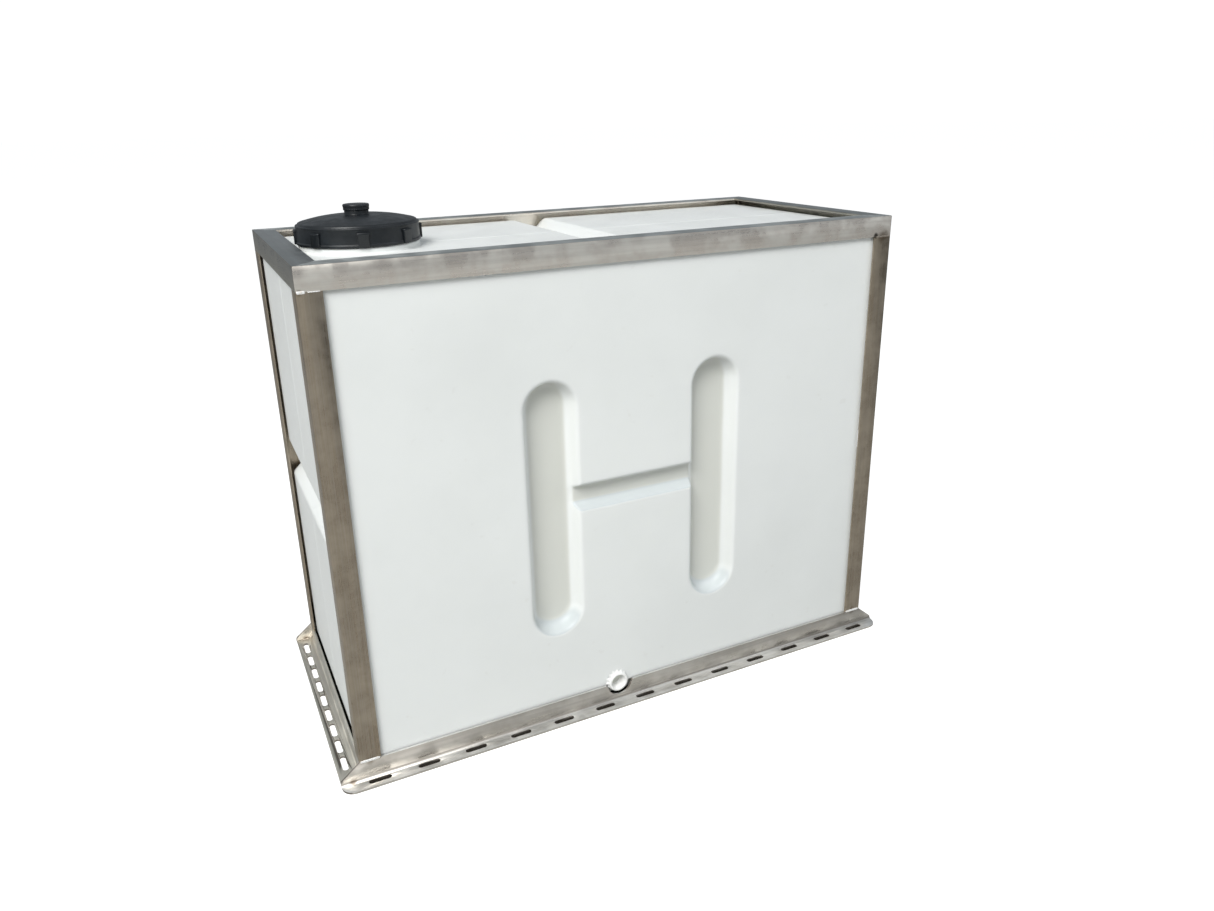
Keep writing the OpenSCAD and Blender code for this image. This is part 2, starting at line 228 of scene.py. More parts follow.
def helix_ridge(centre, radius, height, width, turns, start):
    """Thread ridge on a cylinder, sunk into it a little and fading out at both ends."""
    section = [(-0.4, -0.5), (1, -0.22), (1, 0.22), (-0.4, 0.5)]
    steps_per_turn = 72
    steps = int(steps_per_turn * turns)
    vertices = []
    for i in range(steps + 1):
        angle = start + 2 * math.pi * turns * i / steps
        fade = min(1, 8 * i / steps + 0.1, 8 * (steps - i) / steps + 0.1)
        for out, along in section:
            r = radius + height * out * (fade if out > 0 else 1)
            z = THREAD_PITCH * turns * i / steps + width * along
            vertices.append(centre + Vector((r * math.cos(angle), r * math.sin(angle), z)))
    return vertices, tube_faces(steps + 1, len(section))


# ---------- material helpers ----------

def new_material(name):
    material = bpy.data.materials.new(name)
    material.use_nodes = True
    material.node_tree.nodes.clear()
    return material, material.node_tree


def add(tree, kind, inputs=None, **settings):
    """A shader node with its inputs linked or set."""
    made = tree.nodes.new("ShaderNode" + kind)
    for key, value in settings.items():
        setattr(made, key, value)
    for key, value in (inputs or {}).items():
        if isinstance(value, bpy.types.NodeSocket):
            tree.links.new(value, made.inputs[key])
        else:
            made.inputs[key].default_value = value
    return made


def place(tree):
    """The point being shaded, in the piece's own metres."""
    return add(tree, "TexCoord").outputs["Object"]


def stretched(tree, vector, scale):
    return add(tree, "Mapping", {"Vector": vector, "Scale": scale}).outputs["Vector"]


def cloud(tree, vector, scale, detail, roughness=0.55):
    inputs = {"Vector": vector, "Scale": scale, "Detail": detail, "Roughness": roughness}
    return add(tree, "TexNoise", inputs).outputs["Fac"]


def ranged(tree, value, low, high, to_low=0.0, to_high=1.0):
    """value carried from low..high to to_low..to_high, smoothly and clamped."""
    inputs = {"Value": value, "From Min": low, "From Max": high, "To Min": to_low, "To Max": to_high}
    return add(tree, "MapRange", inputs, interpolation_type="SMOOTHSTEP").outputs["Result"]


def maths(tree, operation, a, b=0.0):
    return add(tree, "Math", {0: a, 1: b}, operation=operation).outputs[0]


def blended(tree, factor, a, b):
    """Colour a carried towards colour b by factor."""
    made = add(tree, "Mix", data_type="RGBA")
    for index, value in ((0, factor), (6, a), (7, b)):
        if isinstance(value, bpy.types.NodeSocket):
            tree.links.new(value, made.inputs[index])
        else:
            made.inputs[index].default_value = value
    return made.outputs[2]


def tone(red, green, blue):
    return (red, green, blue, 1.0)


def relief(tree, height, distance, strength, under=None):
    """Bumps of a height in metres, on top of the bumps under them."""
    inputs = {"Height": height, "Distance": distance, "Strength": strength}
    if under is not None:
        inputs["Normal"] = under
    return add(tree, "Bump", inputs).outputs["Normal"]


def finish_material(tree, inputs):
    shader = add(tree, "BsdfPrincipled", inputs)
    output = tree.nodes.new("ShaderNodeOutputMaterial")
    tree.links.new(shader.outputs[0], output.inputs["Surface"])


def distance_to(tree, where, point):
    return add(tree, "VectorMath", {0: where, 1: tuple(point)}, operation="DISTANCE").outputs["Value"]


# ---------- materials ----------

def product(tree, *factors):
    """The factors multiplied together."""
    result = factors[0]
    for factor in factors[1:]:
        result = maths(tree, "MULTIPLY", result, factor)
    return result


def facing_of(tree):
    """Components of the surface's direction, by the outputs X, Y and Z."""
    return add(tree, "SeparateXYZ", {0: add(tree, "NewGeometry").outputs["Normal"]}).outputs


def recess_shade(tree, where):
    """Mask of the painted shade in the recesses: how far a point lies sunk below the front or back wall,
    from 0 to 1; none where it faces sideways.
    """
    x, y, z = add(tree, "SeparateXYZ", {0: where}).outputs
    sunk = ranged(tree, maths(tree, "ABSOLUTE", y), TANK_Y - 19 * MM, TANK_Y - 3 * MM, 1.0, 0.0)
    not_sideways = ranged(tree, maths(tree, "ABSOLUTE", facing_of(tree)["X"]), 0.25, 0.65, 1.0, 0.0)
    in_recess = maths(tree, "LESS_THAN", maths(tree, "ABSOLUTE", x), RECESS_X + RECESS_HALF)
    below_top = maths(tree, "LESS_THAN", z, RECESS_HIGH + RECESS_MARGIN)
    return product(tree, sunk, not_sideways, in_recess, below_top)


def recess_sill_shade(tree, where):
    """Mask of the painted shade on the slopes of the recesses that face up: 1 there, 0 elsewhere."""
    parts = add(tree, "SeparateXYZ", {0: where}).outputs
    rising = ranged(tree, facing_of(tree)["Z"], 0.12, 0.5)
    in_recess = maths(tree, "LESS_THAN", maths(tree, "ABSOLUTE", parts["X"]), RECESS_X + RECESS_HALF)
    high_enough = maths(tree, "GREATER_THAN", parts["Z"], RECESS_LOW - RECESS_MARGIN)
    below_top = maths(tree, "LESS_THAN", parts["Z"], RECESS_HIGH)
    return product(tree, rising, in_recess, below_top, high_enough)


def milky_plastic(name, clear_tone, cloud_tone, recess_shade_tone=None, sill_shade_tone=None):
    """Natural polyethylene: milky, satin, with moulding clouds, fine orange peel and a few scuffs.

    The recess and sill tones are painted shade for a wall with recesses: darker on their floors, and on
    their slopes that face up.
    """
    material, tree = new_material(name)
    where = place(tree)
    clouds = ranged(tree, cloud(tree, where, 3.2, 5.0), 0.35, 0.7)
    colour = blended(tree, clouds, clear_tone, cloud_tone)
    specks = ranged(tree, cloud(tree, where, 46.0, 2.0), 0.70, 0.78)
    colour = blended(tree, product(tree, specks, 0.10), colour, tone(0.55, 0.52, 0.47))
    # Painted shade: darker colour on the recesses' floors and on their slopes that face up
    if recess_shade_tone:
        colour = blended(tree, recess_shade(tree, where), colour, recess_shade_tone)
        colour = blended(tree, recess_sill_shade(tree, where), colour, sill_shade_tone)
    scuffs = cloud(tree, stretched(tree, where, (5, 5, 120)), 4.0, 6.0)
    roughness = ranged(tree, scuffs, 0.3, 0.75, 0.34, 0.50)
    peel = relief(tree, cloud(tree, where, 420.0, 2.0), 0.00012, 0.35)
    waves = relief(tree, cloud(tree, where, 14.0, 2.0), 0.002, 0.25, peel)
    finish_material(tree, {
        "Base Color": colour, "Roughness": roughness, "Normal": waves,
        "Subsurface Weight": 0.35, "Subsurface Radius": (1.0, 1.0, 0.95), "Subsurface Scale": 0.006,
        "IOR": 1.5, "Specular IOR Level": 0.45,
    })
    return material


def black_moulding(name):
    """Black polypropylene: satin, with a fine spark-eroded grain, worn a little paler."""
    material, tree = new_material(name)
    where = place(tree)
    wear = ranged(tree, cloud(tree, where, 38.0, 6.0, 0.7), 0.45, 0.75)
    colour = blended(tree, wear, tone(0.003, 0.005, 0.007), tone(0.009, 0.013, 0.017))
    dust = ranged(tree, cloud(tree, where, 300.0, 3.0), 0.62, 0.74)
    colour = blended(tree, product(tree, dust, 0.15), colour, tone(0.05, 0.055, 0.06))
    roughness = ranged(tree, cloud(tree, where, 70.0, 4.0), 0.3, 0.7, 0.34, 0.48)
    grain = relief(tree, cloud(tree, where, 1900.0, 2.0), 0.00006, 0.5)
    finish_material(tree, {
        "Base Color": colour, "Roughness": roughness, "Normal": grain,
        "IOR": 1.5, "Specular IOR Level": 0.55,
    })
    return material


def across_brushing(tree, along):
    """Direction in the surface that lies across the brushing, in which the reflections are drawn out."""
    axis = tuple(1.0 if letter == along else 0.0 for letter in "xyz")
    facing = add(tree, "NewGeometry").outputs["Normal"]
    return add(tree, "VectorMath", {0: facing, 1: axis}, operation="CROSS_PRODUCT").outputs["Vector"]


def brushed_steel(name, along, side_tones, top_tones, tints=(), dulled=0.0, bend_shade=0.6):
    """Mill-finish stainless angle, brushed along its length: streaks, smudges and heat tint at the welds, on
    tones set apart for the sides and the top as painted reflection.

    It is darker at its cut ends, and in the bend by bend_shade, a painted shade; dulled is added to the
    roughness all over.
    """
    material, tree = new_material(name)
    where = place(tree)
    fine = tuple(9 if axis == along else 1100 for axis in "xyz")
    broad = tuple(5 if axis == along else 120 for axis in "xyz")
    streaks = cloud(tree, stretched(tree, where, fine), 1.0, 3.0, 0.6)
    bands = cloud(tree, stretched(tree, where, broad), 1.0, 3.0, 0.5)
    smudges = ranged(tree, cloud(tree, where, 26.0, 6.0, 0.62), 0.36, 0.66)
    facing = facing_of(tree)
    turned_up = ranged(tree, facing["Z"], 0.1, 0.5, dulled, 0.14 + dulled)
    past_side = ranged(tree, facing["Z"], 0.12, 0.4)
    short_of_top = ranged(tree, facing["Z"], 0.6, 0.92, 1.0, 0.0)
    in_bend = product(tree, past_side, short_of_top)
    at_end = ranged(tree, maths(tree, "ABSOLUTE", facing[along.upper()]), 0.3, 0.5)
    side = blended(tree, smudges, *side_tones)
    top = blended(tree, smudges, *top_tones)
    # Painted reflection: the top takes darker, cooler tones than the sides
    colour = blended(tree, ranged(tree, facing["Z"], 0.45, 0.85), side, top)
    colour = blended(tree, ranged(tree, bands, 0.35, 0.65, 0.0, 0.16), colour, tone(0.20, 0.17, 0.14))
    colour = blended(tree, ranged(tree, streaks, 0.3, 0.7, 0.0, 0.14), colour, tone(0.80, 0.77, 0.73))
    # Painted shade: the bend between the legs is darkened
    colour = blended(tree, product(tree, in_bend, bend_shade), colour, tone(0.34, 0.31, 0.28))
    colour = blended(tree, product(tree, at_end, 0.8), colour, tone(0.22, 0.19, 0.16))
    for point, radius, strength, tint in tints:
        near = distance_to(tree, where, point)
        ragged = product(tree, cloud(tree, where, 95.0, 4.0), radius)
        near = maths(tree, "ADD", near, ragged)
        mask = ranged(tree, near, radius * 0.75, radius * 1.5, strength, 0.0)
        colour = blended(tree, mask, colour, tint)
    roughness = ranged(tree, smudges, 0.0, 1.0, 0.28, 0.42)
    for rougher in (ranged(tree, streaks, 0.3, 0.7, -0.04, 0.06), turned_up, product(tree, in_bend, 0.3)):
        roughness = maths(tree, "ADD", roughness, rougher)
    brushing = relief(tree, streaks, 0.00006, 0.30)
    dents = relief(tree, cloud(tree, where, 60.0, 3.0), 0.0005, 0.25, brushing)
    finish_material(tree, {
        "Base Color": colour, "Roughness": roughness, "Normal": dents,
        "Metallic": 1.0, "Anisotropic": 0.7, "Tangent": across_brushing(tree, along),
    })
    return material


def weld_metal(name, bright, tint, metallic):
    """Weld bead: rippled metal, bright or dull by the given tone, with straw and brown heat colours where it
    cooled last.
    """
    material, tree = new_material(name)
    where = place(tree)
    patches = ranged(tree, cloud(tree, where, 160.0, 4.0), 0.52, 0.7)
    colour = blended(tree, patches, bright, tint)
    soot = ranged(tree, cloud(tree, where, 420.0, 2.0), 0.68, 0.74)
    colour = blended(tree, soot, colour, tone(0.05, 0.045, 0.04))
    roughness = ranged(tree, cloud(tree, where, 600.0, 3.0), 0.3, 0.7, 0.20, 0.42)
    skin = relief(tree, cloud(tree, where, 900.0, 3.0), 0.0002, 0.4)
    finish_material(tree, {
        "Base Color": colour, "Roughness": roughness, "Normal": skin, "Metallic": metallic,
    })
    return material


def soft_black(name, low, high, scale, depth):
    """Rubber or foam: matt, mottled, with an open surface."""
    material, tree = new_material(name)
    where = place(tree)
    pores = cloud(tree, where, scale, 4.0, 0.7)
    colour = blended(tree, ranged(tree, pores, 0.35, 0.65), low, high)
    finish_material(tree, {
        "Base Color": colour, "Roughness": ranged(tree, pores, 0.3, 0.7, 0.7, 0.92),
        "Normal": relief(tree, pores, depth, 0.7),
    })
    return material


def floor_paint(name):
    """Plain pale studio floor, overexposed like its backdrop, with a painted shadow: near black where the
    tank shuts the light out.
    """
    material, tree = new_material(name)
    where = place(tree)
    pale = blended(tree, cloud(tree, where, 1.5, 3.0), tone(0.43, 0.43, 0.42), tone(0.47, 0.47, 0.46))
    parts = add(tree, "SeparateXYZ", {0: where}).outputs
    under_x = maths(tree, "LESS_THAN", maths(tree, "ABSOLUTE", parts["X"]), HALF_L)
    under_y = maths(tree, "LESS_THAN", maths(tree, "ABSOLUTE", parts["Y"]), FLOOR_SHADE_Y)
    under = product(tree, under_x, under_y)
    # Painted shadow: near black under the tank's footprint, and no glow there
    colour = blended(tree, under, pale, tone(0.02, 0.016, 0.013))
    seen = add(tree, "LightPath").outputs["Is Camera Ray"]
    glow = product(tree, seen, 0.85, maths(tree, "SUBTRACT", 1.0, under))
    finish_material(tree, {
        "Base Color": colour, "Roughness": 0.85, "Specular IOR Level": 0.1,
        "Emission Color": tone(1, 1, 1), "Emission Strength": glow,
    })
    return material


# The last two tones are painted shade, for the recesses' floors and for their slopes that face up
TANK_PLASTIC = milky_plastic(
    "tank_plastic", tone(0.81, 0.825, 0.81), tone(0.77, 0.785, 0.77), tone(0.68, 0.685, 0.64),
    tone(0.60, 0.635, 0.64),
)
FITTING_PLASTIC = milky_plastic("fitting_plastic", tone(0.90, 0.90, 0.88), tone(0.86, 0.86, 0.84))
LID_PLASTIC = black_moulding("lid_plastic")
# Painted highlight: the bright beads are near white and only part metallic, so they read as lit white
HIGHLIT_WELD = weld_metal("weld_steel", tone(0.97, 0.97, 0.96), tone(0.86, 0.81, 0.74), 0.35)
DULL_WELD = weld_metal("weld_steel_dull", tone(0.48, 0.42, 0.35), tone(0.22, 0.16, 0.12), 1.0)
RUBBER = soft_black("gasket_rubber", tone(0.018, 0.018, 0.018), tone(0.035, 0.035, 0.035), 500.0, 0.0001)
FOAM = soft_black("filter_foam", tone(0.02, 0.02, 0.02), tone(0.10, 0.10, 0.10), 1500.0, 0.0005)


# ---------- tank ----------

def step_depth(inward, run, depth, lip_r, floor_r):
    """Depth of a recess at a distance inward from its edge: lip arc, sloping wall, floor arc, floor."""
    slope = math.atan2(depth, run)
    lip_cut = lip_r * math.tan(slope / 2)
    floor_cut = floor_r * math.tan(slope / 2)
    u = np.asarray(inward, float)
    result = np.clip(u / run, 0, 1) * depth
    on_lip = (u > -lip_cut) & (u < lip_cut * math.cos(slope))
    lip = lip_r - np.sqrt(np.maximum(lip_r**2 - (u + lip_cut) ** 2, 0))
    result = np.where(on_lip, lip, result)
    on_floor = (u > run - floor_cut * math.cos(slope)) & (u < run + floor_cut)
    floor = depth - floor_r + np.sqrt(np.maximum(floor_r**2 - (run + floor_cut - u) ** 2, 0))
    return np.where(on_floor, floor, result)


def recess_depth(x, z):
    """Depth of the H recess of the front and back walls."""
    from_axis = np.abs(np.abs(x) - RECESS_X)
    past_end = np.maximum(np.maximum(RECESS_LOW + RECESS_HALF - z, z - RECESS_HIGH + RECESS_HALF), 0)
    inward = RECESS_HALF - np.hypot(from_axis, past_end)
    upright = step_depth(inward, 5 * MM, RECESS_DEPTH, 7 * MM, 15 * MM)
    bar = step_depth(BAR_HALF - np.abs(z - GROOVE_Z), 7 * MM, BAR_DEPTH, 5 * MM, 7 * MM)
    bar = np.where(np.abs(x) < RECESS_X, bar, 0)
    softness = 6 * MM * np.clip(np.minimum(upright, bar) / (6 * MM), 0, 1)
    overlap = np.maximum(softness - np.abs(upright - bar), 0)
    return np.maximum(upright, bar) + overlap**2 / (4 * np.maximum(softness, 1e-9))


def groove_depth(across):
    """Depth of the grooves of the top and the sides, across their middle."""
    return step_depth(GROOVE_HALF - np.abs(across), GROOVE_RUN, GROOVE_DEPTH, 6 * MM, 6 * MM)


def foot_step(z):
    """How far the walls are drawn in at a height."""
    return step_depth(STEP_Z - z, 2 * MM, STEP_IN, 0.8 * MM, 2 * MM)


def edge_steps(flat, radius, count=6):
    """Grid places across a rounded edge, past the flat."""
    return [flat + radius * math.tan(math.pi / 4 * k / count) for k in range(1, count + 1)]


NECK_SQUARE = 92 * MM
DRAIN_SQUARE = 20 * MM


def tank_grid():
    """Grid places along X, Y and Z: close together where the wall bends, wide where it is flat."""
    flat = Vector((TANK_X, TANK_Y, TANK_H)) - EDGE_R
    coarse, medium, fine = 12 * MM, 6 * MM, 2 * MM
    lip = 8 * MM
    groove = GROOVE_HALF + lip
    inner = RECESS_X - RECESS_HALF - lip
    outer = RECESS_X + RECESS_HALF + lip
    xs = spread([
        (-flat.x, fine), (NECK_X - NECK_SQUARE, medium), (NECK_X + NECK_SQUARE, coarse),
        (-outer, fine), (-inner, medium), (DRAIN_X - DRAIN_SQUARE, fine), (DRAIN_X + DRAIN_SQUARE, fine),
        (groove, medium), (inner, fine), (outer, coarse), (END_BEND, fine), (flat.x, fine),
    ])
    seam = 1.2 * SEAM_HALF
    ys = spread([
        (-flat.y, coarse), (-NECK_SQUARE, medium), (-seam, 0.8 * MM), (seam, medium),
        (NECK_SQUARE, coarse), (flat.y, fine),
    ])
    end = RECESS_HALF + lip
    zs = spread([
        (FOOT_R, 4 * MM), (STEP_Z - 6 * MM, 0.7 * MM), (STEP_Z + 1.5 * MM, fine),
        (DRAIN_Z + DRAIN_SQUARE, coarse),
        (RECESS_LOW - lip, fine), (RECESS_LOW + end, medium), (GROOVE_Z - groove, fine),
        (GROOVE_Z + groove, medium), (RECESS_HIGH - end, fine), (RECESS_HIGH + lip, coarse),
        (TOP_BEND, 3 * MM), (flat.z, fine),
    ])
    ends = [edge_steps(f, r) for f, r in zip(flat, EDGE_R)]
    foot = edge_steps(0, FOOT_R, 8)
    xs = np.concatenate([[-v for v in reversed(ends[0])], xs, ends[0]])
    ys = np.concatenate([[-v for v in reversed(ends[1])], ys, ends[1]])
    zs = np.concatenate([[FOOT_R - v for v in reversed(foot)], zs, ends[2]])
    return xs, ys, zs


def box_surface(shape):
    """Grid places of the points on the outside of a block, and the points' numbers on its six sides."""
    number = np.full(shape, -1, int)
    shell = np.zeros(shape, bool)
    shell[0], shell[-1] = True, True
    shell[:, 0], shell[:, -1] = True, True
    shell[:, :, 0], shell[:, :, -1] = True, True
    number[shell] = np.arange(shell.sum())
    sides = {
        "left": number[0], "right": number[-1], "front": number[:, 0],
        "back": number[:, -1], "foot": number[:, :, 0], "top": number[:, :, -1],
    }
    return np.argwhere(shell), sides


def quads_of(side, skip=None):
    """Quads of one side's grid, without the cells in skip: first row, last row, first and last column."""
    cells = np.stack([side[:-1, :-1], side[1:, :-1], side[1:, 1:], side[:-1, 1:]], axis=-1)
    keep = np.ones(cells.shape[:2], bool)
    if skip:
        keep[skip[0]:skip[1], skip[2]:skip[3]] = False
    return cells[keep]


def square_loop(side, rows, columns):
    """Numbers round the square that a port leaves free in a side, in order."""
    (a, b), (c, d) = rows, columns
    return np.concatenate([
        side[a:b, c], side[b, c:d], side[b:a:-1, d], side[a, d:c:-1],
    ])


def nearest(places, value):
    return int(np.argmin(np.abs(places - value)))


def vertex_normals(points, quads):
    across = points[quads[:, 2]] - points[quads[:, 0]]
    over = points[quads[:, 3]] - points[quads[:, 1]]
    facing = np.cross(across, over)
    normals = np.zeros_like(points)
    for corner in range(4):
        np.add.at(normals, quads[:, corner], facing)
    return normals / np.maximum(np.linalg.norm(normals, axis=1, keepdims=True), 1e-12)


def tank_points(xs, ys, zs, index):
    """Grid points on the rounded block, with its recesses, grooves, seam and slight waviness."""
    raw = np.stack([xs[index[:, 0]], ys[index[:, 1]], zs[index[:, 2]] - TANK_H / 2], axis=1)
    radius = np.tile(np.array(EDGE_R), (len(raw), 1))
    radius[raw[:, 2] < 0, 2] = FOOT_R
    core = np.array((TANK_X, TANK_Y, TANK_H / 2)) - radius
    middle = np.clip(raw, -core, core)
    outward = (raw - middle) / radius
    outward /= np.linalg.norm(outward, axis=1, keepdims=True)
    points = middle + outward * radius
    points[:, 2] += TANK_H / 2
    x, y, z = points.T.copy()
    seam = SEAM_H * np.clip(1 - np.abs(y) / SEAM_HALF, 0, 1)
    at_end = np.clip((np.abs(x) - END_BEND) / (TANK_X - END_BEND), 0, 1)
    at_top = np.clip((z - TOP_BEND) / (TANK_H - TOP_BEND), 0, 1)
    points[:, 0] -= np.sign(x) * at_end * groove_depth(z - GROOVE_Z)
    points[:, 2] -= at_top * groove_depth(x)
    on_top = z > TANK_H - 1e-6
    on_side = np.abs(x) > TANK_X - 1e-6
    points[:, 2] += np.where(on_top, seam, 0)
    points[:, 0] += np.where(on_side, np.sign(x) * seam, 0)
    on_wall = np.abs(y) > TANK_Y - 1e-6
    sway = np.array([noise.noise(Vector((a * 5, b * 9, c * 5))) for a, b, c in zip(x, y, z)])
    inward = recess_depth(x, z) + WALL_SWAY * (sway + 1)
    points[:, 1] -= np.where(on_wall, np.sign(y) * inward, 0)
    drawn_in = foot_step(points[:, 2])
    points[:, 0] *= 1 - drawn_in / TANK_X
    points[:, 1] *= 1 - drawn_in / TANK_Y
    return points


def port_rings(points, loop, centre, axes, rings, on_wall=False):
    """Points of rings of (radius, height) round a centre, one for each point of the loop.

    With on_wall, the first ring lies on the wall, where the foot's step draws it in.
    """
    u, v, out = (np.array(axis) for axis in axes)
    centre = np.array(centre)
    rim = points[loop] - centre
    angle = np.arctan2(rim @ v, rim @ u)
    made = [
        centre + r * np.cos(angle)[:, None] * u + r * np.sin(angle)[:, None] * v + h * out
        for r, h in rings
    ]
    if on_wall:
        made[0] -= foot_step(made[0][:, 2])[:, None] * out
    return made


def make_tank():
    xs, ys, zs = tank_grid()
    index, sides = box_surface((len(xs), len(ys), len(zs)))
    points = tank_points(xs, ys, zs, index)

    neck_rows = nearest(xs, NECK_X - NECK_SQUARE), nearest(xs, NECK_X + NECK_SQUARE)
    neck_columns = nearest(ys, -NECK_SQUARE), nearest(ys, NECK_SQUARE)
    drain_rows = nearest(xs, DRAIN_X - DRAIN_SQUARE), nearest(xs, DRAIN_X + DRAIN_SQUARE)
    drain_columns = nearest(zs, DRAIN_Z - DRAIN_SQUARE), nearest(zs, DRAIN_Z + DRAIN_SQUARE)
    outside = np.concatenate([
        quads_of(sides["left"])[:, ::-1], quads_of(sides["right"]),
        quads_of(sides["front"], (*drain_rows, *drain_columns)), quads_of(sides["back"])[:, ::-1],
        quads_of(sides["foot"])[:, ::-1], quads_of(sides["top"], (*neck_rows, *neck_columns)),
    ])
    count = len(points)
    inside = points - WALL * vertex_normals(points, outside)
    faces = [tuple(quad) for quad in outside]
    faces += [tuple(count + i for i in quad[::-1]) for quad in outside]
    vertices = [points, inside]
    total = 2 * count

    collar = rounded([
        (COLLAR_R + 7 * MM, 0, 0), (COLLAR_R, 0, 5 * MM), (COLLAR_R, COLLAR_H, 1.5 * MM),
        (NECK_R, COLLAR_H, 0.8 * MM), (NECK_R, NECK_H, 1.2 * MM), (MOUTH_R, NECK_H, 1.2 * MM),
        (MOUTH_R, -WALL, 0),
    ], closed=False)
    hole_r = 16.1 * MM
    ports = [
        (square_loop(sides["top"], neck_rows, neck_columns), (NECK_X, 0, TANK_H),
         ((1, 0, 0), (0, 1, 0), (0, 0, 1)), collar, False),
        (square_loop(sides["front"], drain_rows, drain_columns), (DRAIN_X, -TANK_Y, DRAIN_Z),
         ((1, 0, 0), (0, 0, 1), (0, -1, 0)),
         [(hole_r + 0.6 * MM, 0), (hole_r, 0), (hole_r, -WALL)], True),
    ]
    for loop, centre, axes, rings, on_wall in ports:
        loops = [loop]
        for ring in port_rings(points, loop, centre, axes, rings, on_wall):
            vertices.append(ring)
            loops.append(np.arange(total, total + len(loop)))
            total += len(loop)
        loops.append(loop + count)
        for a, b in zip(loops, loops[1:]):
            for i in range(len(loop)):
                n = (i + 1) % len(loop)
                faces.append((int(a[i]), int(a[n]), int(b[n]), int(b[i])))
    piece = make_piece("tank_body", np.concatenate(vertices), faces, TANK_PLASTIC)
    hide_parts("tank_shell")

    thread = helix_ridge(
        Vector((NECK_X, 0, TANK_H + 12.5 * MM)), NECK_R, height=2 * MM, width=3 * MM, turns=1.4,
        start=math.radians(-110),
    )
    make_piece("neck_thread", *thread, TANK_PLASTIC, sharp=40)


# ---------- drain ----------

def make_drain():
    """Fluted boss: a threaded bore, a plain rim, and ribs that flare back to the tank's wall."""
    centre = Vector((DRAIN_X, 0, DRAIN_Z))
    stand = -TANK_Y - DRAIN_FACE
    length = DRAIN_HIGH.y - DRAIN_FACE
    boss_r, bore_r = 16 * MM, 12 * MM
    ribs = 16
    # The ribs reach furthest on the side that faces up and left
    rib_long, rib_short, long_side = 22.4 * MM, 17 * MM, math.radians(125)
    pitch, thread_depth = 1.8 * MM, 0.9 * MM
    chamfer = 0.9 * MM

    def flare(radius, height, angle):
        depth = height - DRAIN_FACE
        if radius < bore_r + 0.5 * MM:
            wave = (depth / pitch - angle / (2 * math.pi)) % 1
            crest = abs(2 * wave - 1) * min(1, max(0, depth / (2 * MM)))
            return radius + thread_depth * (1 - crest), height
        if radius < boss_r - 0.5 * MM or depth > stand:
            return radius, height
        longer = min(1, max(0, 0.35 + 0.9 * math.cos(angle - long_side)))
        reach = rib_short + (rib_long - rib_short) * longer
        open_out = max(0, (depth - 0.8 * MM) / (stand - 0.8 * MM)) ** 1.5
        petal = 0.5 + 0.5 * math.cos(ribs * angle)
        floor = 0.45 * open_out
        return boss_r + (reach - boss_r) * (floor + (1 - floor) * petal) * open_out, height

    back = DRAIN_FACE + length
    rim = DRAIN_FACE + 0.05 * MM
    profile = [(bore_r + chamfer, rim), (boss_r - 0.7 * MM, rim), (boss_r, DRAIN_FACE + 0.5 * MM)]
    rib_rings, bore_rings = 9, 44
    profile += [
        (boss_r, DRAIN_FACE + stand * (0.15 + 0.85 * i / rib_rings)) for i in range(rib_rings + 1)
    ]
    profile += [(boss_r, DRAIN_FACE + stand + 0.02 * MM), (boss_r, back)]
    bore_length = back - DRAIN_FACE - 0.6 * MM
    profile += [(bore_r, back - bore_length * i / bore_rings) for i in range(bore_rings + 1)]
    piece = make_piece(
        "drain_boss", *revolve(profile, 144, centre, axis="Y", warp=flare), FITTING_PLASTIC, sharp=50
    )
    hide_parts("drain_fitting")


# ---------- lid ----------

LID_R = 85.4 * MM
LID_BORE = 81.6 * MM
LID_Z = LID_LOW.z
TUBE_R = 13 * MM
# Round boss that the vent knob seats on
BOSS_R = 16.8 * MM
BOSS_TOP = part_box("vent_cap")[0].z - 0.4 * MM
SHOULDER_R = 80 * MM
SKIRT_TOP = LID_Z + 25.3 * MM
SHOULDER_Z = SKIRT_TOP + 3.3 * MM
DOME_H = 8.8 * MM
TUBE_TOP = LID_HIGH.z
SEAT_Z = SHOULDER_Z + 12 * MM
LUGS = 8
FIRST_LUG = math.radians(-7.6)
# The vent knob's top lies this far below the top of its node
KNOB_DROP = 1.6 * MM


def dome_at(radius):
    """Height of the lid's dome at a radius: almost level in the middle, steeper towards the shoulder."""
    return SHOULDER_Z + DOME_H * (1 - ((radius - TUBE_R) / (SHOULDER_R - TUBE_R)) ** 2.2)


